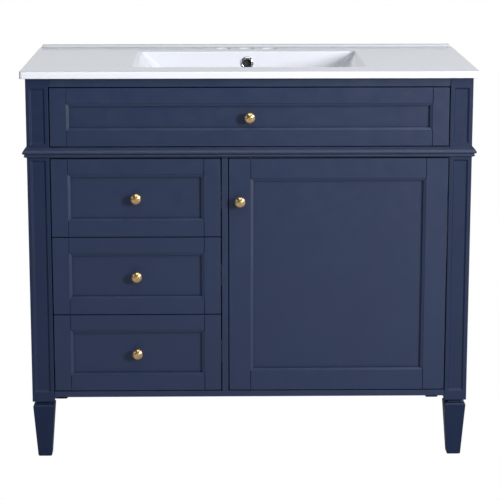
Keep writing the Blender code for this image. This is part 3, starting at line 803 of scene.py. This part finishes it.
def build_mouldings():
    """The belt round the front and the sides: a hollow slope, a round nose and a bead under it."""
    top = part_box("moulding_front")[1].z
    # The section from the top down: how far out, and how far below the top.
    section = [(GAP, 0), (0.0013, 0)]
    section += smooth_profile([(0.0013, 0.0002), (0.0019, 0.0009), (0.0033, 0.0024), (0.0052, 0.0045),
                               (0.0066, 0.0063), (0.0074, 0.0076)], 3)
    section += smooth_profile([(0.0078, 0.0080), (0.0083, 0.0089), (0.0085, 0.0101), (0.0083, 0.0114),
                               (0.0076, 0.0125), (0.0064, 0.0131), (0.0052, 0.0133)], 2)
    section += smooth_profile([(0.0042, 0.0139), (0.0043, 0.0146), (0.0050, 0.0154), (0.0055, 0.0166),
                               (0.0053, 0.0178), (0.0044, 0.0189), (0.0032, 0.0196)], 2)
    section += [(0.0018, 0.0198), (0.0016, 0.0204), (GAP, 0.0204)]

    def run(end_x, end_y):
        return [(end_x(out), end_y(out), top - drop) for out, drop in section]

    across = 0.0001
    front = loft([run(lambda out: s * (CARCASS_EDGE + out - across), lambda out: FACE - out) for s in (-1, 1)])
    piece("belt_front", front, PAINT, "paint", "cabinet", "moulding_front", sharp=40)
    for name, s in (("left", -1), ("right", 1)):
        mitre = run(lambda out: s * (CARCASS_EDGE + out), lambda out: FACE - out + across)
        rear = run(lambda out: s * (CARCASS_EDGE + out), lambda out: BACK)
        piece("belt_" + name, loft([mitre, rear]), PAINT, "paint", "cabinet", "moulding_" + name, sharp=40)


def build_rails():
    """The three front rails, with the fine open joint that shows between them and the posts."""
    for name in ("top_rail", "waist_rail", "bottom_rail"):
        low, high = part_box(name)
        inset = Vector((0.0005, 0, 0))
        rail = rounded(block(tuple(low + inset), tuple(high - inset)), 0.0006, 2)
        weighted(piece(name + "_board", rail, PAINT, "paint", "cabinet", name))


def build_door_stop():
    """A painted lath behind the gap between the mullion and the door."""
    mullion_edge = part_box("mullion")[1].x
    rear, rail, board = FACE + THICK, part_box("waist_rail")[0].z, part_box("bottom_board")[1].z
    low = (mullion_edge + GAP, rear + 0.0007, board + 0.001)
    high = (mullion_edge + 0.0076, rear + 0.0060, rail - 0.001)
    lath = rounded(block(low, high), 0.0006, 2)
    weighted(piece("door_stop_lath", lath, PAINT, "paint", "cabinet"))


def build_foot(end, side):
    """A tapered foot and the steel stud that joins it to its post."""
    name = f"foot_{end}_{side}"
    low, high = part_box(name)
    x, y = (low.x + high.x) / 2, (low.y + high.y) / 2
    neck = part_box(f"post_{end}_{side}")[0].z - GAP
    # Height, half width and corner radius from the floor up, with a rounded sole and a chamfered shoulder.
    levels = [(0.0032 * (1 - c), 0.0110 + 0.0032 * s, 0.0010 + 0.0008 * s) for s, c in quarter(5)]
    levels += [(0.0360, 0.0166, 0.0018), (0.0720, 0.0192, 0.0018), (0.1070, 0.02175, 0.0018),
               (0.1088, 0.02190, 0.0018), (0.1095, 0.02165, 0.0018), (0.1120, 0.01985, 0.0016),
               (0.1125, 0.01920, 0.0014), (0.1125, 0.01530, 0.0010), (0.1129, 0.01480, 0.0010),
               (neck, 0.01480, 0.0010)]
    foot = loft([[(*corner, z) for corner in rounded_outline(x, y, half - radius, half - radius, radius)]
                 for z, half, radius in levels])
    stud = [(0, 0), (0, 0.0040), (0.0232, 0.0040), (0.0240, 0.0032), (0.0240, 0)]
    turned(stud, (x, y, neck + 0.0001), (0, 0, 1), 24, into=foot, material=1)
    # The feet take the darkest paint, which is painted shade.
    weighted(piece(f"tapered_{name}", foot, [PAINT_FOOT_SHADED, STEEL], "paint", "cabinet", name, sharp=60))


# ---------------------------------------------------------------- drawers

def screw_head(spot, axis, radius, height):
    """A pan head with a cross in it, standing on spot and pointing along axis."""
    axis = Vector(axis)
    profile = [(-0.0002, 0), (-0.0002, radius), (0.0003, radius)]
    profile += [(0.0003 + (height - 0.0003) * s, radius - radius * 0.45 * (1 - c)) for s, c in quarter(4)][1:]
    profile += [(height, 0)]
    head = turned(profile, (0, 0, 0), (0, 0, 1), 20)
    for turn in (0.4, 0.4 + math.pi / 2):
        slot = block((-radius * 0.62, -0.00035, height * 0.35), (radius * 0.62, 0.00035, height + 0.001))
        bmesh.ops.rotate(slot, verts=slot.verts, cent=(0, 0, 0), matrix=Matrix.Rotation(turn, 3, "Z"))
        head = cut(head, slot)
    bmesh.ops.transform(head, verts=head.verts, matrix=Matrix.Translation(Vector(spot))
                        @ axis.to_track_quat("Z", "Y").to_matrix().to_4x4())
    return head


def build_drawer_box(number):
    """A plywood box whose sides run through. Its front is bored for the knob's screw."""
    name = f"drawer_{number}_box"
    low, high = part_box(name)
    wall, floor, sheet, groove, play = 0.012, 0.014, 0.006, 0.004, 0.00008
    x0, x1, y0, y1, z0, z1 = low.x, high.x, low.y, high.y, low.z, high.z
    whole = bmesh.new()
    knob_low, knob_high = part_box(f"drawer_{number}_knob")
    knob_x, knob_z = (knob_low.x + knob_high.x) / 2, (knob_low.z + knob_high.z) / 2
    bore = turned([(0, 0), (0, 0.0027), (0.04, 0.0027), (0.04, 0)], (knob_x, y0 - 0.01, knob_z), (0, 1, 0), 24)
    front = block((x0 + wall + play, y0 + 0.0002, z0), (x1 - wall - play, y0 + wall, z1), material=1)
    front = cut(rounded(front, 0.0009, 2), bore)
    append(whole, front)
    back = block((x0 + wall + play, y1 - wall, z0 + floor + play),
                 (x1 - wall - play, y1 - 0.0002, z1), material=1)
    append(whole, rounded(back, 0.0009, 2))
    for a, b in ((x0, x0 + wall), (x1 - wall, x1)):
        append(whole, rounded(block((a, y0, z0), (b, y1, z1)), 0.0009, 2))
    block((x0 + wall - groove, y0 + wall - groove, z0 + floor - sheet),
          (x1 - wall + groove, y1, z0 + floor), into=whole, material=2)
    weighted(piece(name + "_joined", whole, [PLY_SIDE, PLY_BACK, PLY_FLAT], "board", f"drawer_{number}", name))


def build_slides():
    """The outer channel and the inner rail of each drawer slide, with screws, slots and end stops."""
    for hand, side in (("left", 1), ("right", -1)):
        outer_low, outer_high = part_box(f"slide_outer_1_{hand}")
        wall = (outer_low.x if side > 0 else outer_high.x) - side * GAP
        y0, y1 = outer_low.y, outer_high.y
        level = (outer_low.z + outer_high.z) / 2
        half, sheet = 0.0225, 0.0012

        def at(points):
            return [(wall + side * x, level + z) for x, z in points]

        outline = [(GAP, -half), (0.0088, -half), (0.0095, -half + 0.0005), (0.0095, -half + sheet),
                   (0.0032, -half + sheet), (GAP + sheet, -half + 0.0030)]
        outline += [(x, -z) for x, z in reversed(outline)]
        channel = rounded(prism(at(outline), y0, y1, 1), 0.0003, 1, 50)
        for y in (y0 + 0.030, y0 + 0.160, y0 + 0.340):
            append(channel, screw_head((wall + side * (GAP + sheet), y, level), (side, 0, 0), 0.0036, 0.0010))
        bar = 0.0208
        outline = [(0.0124, -bar + 0.0010), (0.0112, -bar), (0.0034, -bar), (0.0034, -bar + sheet),
                   (0.0104, -bar + sheet), (0.0112, -bar + 0.0030)]
        outline += [(x, -z) for x, z in reversed(outline)]
        rail = prism(at(outline), y0, y1, 1)
        for along, half_slot in ((0.062, 0.003), (0.105, 0.006), (0.245, 0.006), (0.305, 0.003)):
            outline = slot_outline(y0 + along, level, half_slot, 0.0024)
            rail = cut(rail, prism(outline, *sorted((wall + side * 0.009, wall + side * 0.015)), 0))
        for y in (y0 + 0.034, y0 + 0.170, y0 + 0.350):
            append(rail, screw_head((wall + side * 0.0112, y, level), (-side, 0, 0), 0.0036, 0.0013))
        x0, x1 = sorted((wall + side * 0.0036, wall + side * 0.0110))
        stop = rounded(block((x0, y1 - 0.020, level - 0.0150), (x1, y1 - 0.0004, level + 0.0150)), 0.0012, 2)
        for number in (1, 2, 3):
            low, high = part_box(f"slide_outer_{number}_{hand}")
            drop = Vector((0, 0, (low.z + high.z) / 2 - level))
            for label, source, material, slot, body, node in (
                    ("channel", channel, STEEL, "steel", "cabinet", f"slide_outer_{number}_{hand}"),
                    ("rail", rail, STEEL, "steel", f"drawer_{number}", f"slide_inner_{number}_{hand}"),
                    ("stop", stop, PLASTIC, "plastic", f"drawer_{number}", None)):
                copy = source.copy()
                bmesh.ops.translate(copy, verts=copy.verts, vec=drop)
                piece(f"slide_{label}_{number}_{hand}", copy, material, slot, body, *([node] if node else []))
        for source in (channel, rail, stop):
            source.free()


# ---------------------------------------------------------------- door hinges

CUP_INSET = 0.018
ARM_TAIL = 0.0335


def build_hinge(place):
    """A concealed cup hinge: the cup with its flange, the arm on its plate, and the link between them."""
    cup_low, cup_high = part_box(f"hinge_cup_{place}")
    plate_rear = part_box(f"hinge_plate_{place}")[1].y - ARM_TAIL
    rear = FACE + THICK
    x, z = POST_INNER - REVEAL - CUP_INSET, (cup_low.z + cup_high.z) / 2
    top = rear + 0.0020
    bore, wall = 0.0125, 0.0113

    outline = rounded_outline(x, z, 0.0045, 0.0198, 0.0038)
    flange = rounded(prism(outline, rear + GAP, top, 1), 0.0004, 2)
    collar = [(0, bore), (0, bore + 0.0014), (0.0022, bore + 0.0014), (0.0030, bore + 0.0006), (0.0030, bore)]
    append(flange, turned(collar, (x, rear + GAP, z), (0, 1, 0), 40))
    # The bowl of the cup: a thin wall, open to the back.
    bowl = [(-0.0105, 0), (-0.0105, bore - 0.0010), (-0.0095, bore), (0.0024, bore), (0.0024, wall),
            (-0.0080, wall), (-0.0092, wall - 0.0012), (-0.0092, 0)]
    cutter = [(-0.02, 0), (-0.02, bore - 0.0002), (0.02, bore - 0.0002), (0.02, 0)]
    flange = cut(flange, turned(cutter, (x, rear, z), (0, 1, 0), 40))
    append(flange, turned(bowl, (x, rear, z), (0, 1, 0), 40))
    for sz in (-1, 1):
        append(flange, screw_head((x, top, z + sz * 0.0192), (0, 1, 0), 0.0034, 0.0012))
    pivot = [(-0.009, 0), (-0.009, 0.0016), (0.009, 0.0016), (0.009, 0)]
    append(flange, turned(pivot, (x - 0.0020, rear - 0.0055, z), (0, 0, 1), 16))
    node = f"hinge_cup_{place}"
    weighted(piece(node + "_pressed", flange, STEEL, "steel", "door", node, sharp=40))

    # The arm: a pressed channel on a winged plate.
    y0 = rear + 0.0050
    wall_x = POST_INNER - GAP
    arm_low, arm_high = POST_INNER - 0.0150, wall_x - 0.0020
    section = [(arm_high, -0.0064), (arm_low + 0.0020, -0.0064), (arm_low + 0.0006, -0.0058),
               (arm_low, -0.0044)]
    section += [(px, -pz) for px, pz in reversed(section)]
    inner = [(arm_high + 0.001, 0.0050), (arm_low + 0.0026, 0.0050), (arm_low + 0.0014, 0.0038)]
    inner += [(px, -pz) for px, pz in reversed(inner)]
    arm = prism([(px, z + pz) for px, pz in section], y0, y0 + 0.0545, 1)
    arm = cut(arm, prism([(px, z + pz) for px, pz in inner], y0 + 0.002, y0 + 0.08, 1))
    arm = cut(arm, prism(slot_outline(y0 + 0.036, z, 0.0045, 0.0027), arm_low - 0.004, arm_low + 0.006, 0))
    arm = rounded(arm, 0.0004, 2, 40)
    # Its front end, the plate and the wedge between them.
    for low, high, width, segments in (
            ((x - 0.0045, y0 + 0.0008, z - 0.0052), (arm_low + 0.0020, y0 + 0.0062, z + 0.0052), 0.0012, 3),
            ((wall_x - 0.0022, y0 + 0.004, z - 0.0235), (wall_x, plate_rear, z + 0.0235), 0.0004, 2),
            ((wall_x - 0.0072, y0 + 0.006, z - 0.0049), (wall_x - 0.0016, y0 + 0.0520, z + 0.0049), 0.0006, 2)):
        append(arm, rounded(block(low, high), width, segments))
    middle_y = (y0 + 0.004 + plate_rear) / 2
    for sz in (-1, 1):
        append(arm, screw_head((wall_x - 0.0022, middle_y, z + sz * 0.0165), (-1, 0, 0), 0.0038, 0.0014))
    for y in (y0 + 0.018, y0 + 0.036):
        append(arm, screw_head((arm_low + 0.0004, y, z), (-1, 0, 0), 0.0030, 0.0016))
    weighted(piece(f"hinge_arm_{place}", arm, STEEL, "steel", "cabinet", f"hinge_plate_{place}", sharp=40))

    # The link runs from the arm into the cup.
    count = 24
    start, end = Vector((x - 0.0020, y0 + 0.0040, z)), Vector((x - 0.0010, rear - 0.0062, z))
    link = bmesh.new()
    for sz in (-0.0034, 0.0018):
        rings = []
        for i in range(count + 1):
            spot = start.lerp(end, i / count)
            left, right, foot, head = spot.x - 0.0011, spot.x + 0.0011, z + sz, z + sz + 0.0016
            rings.append([(left, spot.y, foot), (right, spot.y, foot),
                          (right, spot.y, head), (left, spot.y, head)])
        loft(rings, into=link)
    bmesh.ops.recalc_face_normals(link, faces=link.faces)
    data = bpy.data.meshes.new(f"hinge_link_{place}")
    link.to_mesh(data)
    link.free()
    made = bpy.data.objects.new(f"hinge_link_{place}", data)
    bpy.context.scene.collection.objects.link(made)
    data.materials.append(STEEL)
    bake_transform(made)


# ---------------------------------------------------------------- putting it together

FINISHES = {"paint": PAINT, "ceramic": CERAMIC, "brass": BRASS, "chrome": CHROME, "steel": STEEL,
            "plastic": PLASTIC, "board": PLY_BACK}
for part in frame["record"]["subparts"]:
    set_finish(NODES[part["node"]], FINISHES[part["material_slot"]])
set_finish(NODES["bottom_board"], PLY_FLAT)
set_finish(NODES["partition"], PLY_SIDE)
for side in ("left", "right"):
    set_finish(NODES["tilt_pin_" + side], DARK)

for name, node in NODES.items():
    if name.startswith(("post_", "side_panel", "mullion")):
        soften(node, 0.0007, 3)
        if name.startswith("post_"):
            # The posts take the darker paint, which is painted shade.
            set_finish(node, PAINT_POST_SHADED)
    elif name.startswith(("back_", "bottom_board", "partition", "tilt_tray")) or name.endswith("_panel"):
        soften(node, 0.0005, 2)

build_countertop()
build_overflow_ring()
build_mouldings()
build_rails()
build_door_stop()
for end in ("front", "back"):
    for side in ("left", "right"):
        build_foot(end, side)
build_front("tilt_front", 0.033, 0.031)
for number in (1, 2, 3):
    build_front(f"drawer_{number}", 0.0335, 0.0315)
    build_knob(f"drawer_{number}_knob", f"drawer_{number}")
    build_drawer_box(number)
build_front("door", 0.0435, 0.040)
build_knob("door_knob", "door")
build_knob("tilt_front_knob", "tilt_front")
build_slides()
build_hinge("upper")
build_hinge("lower")
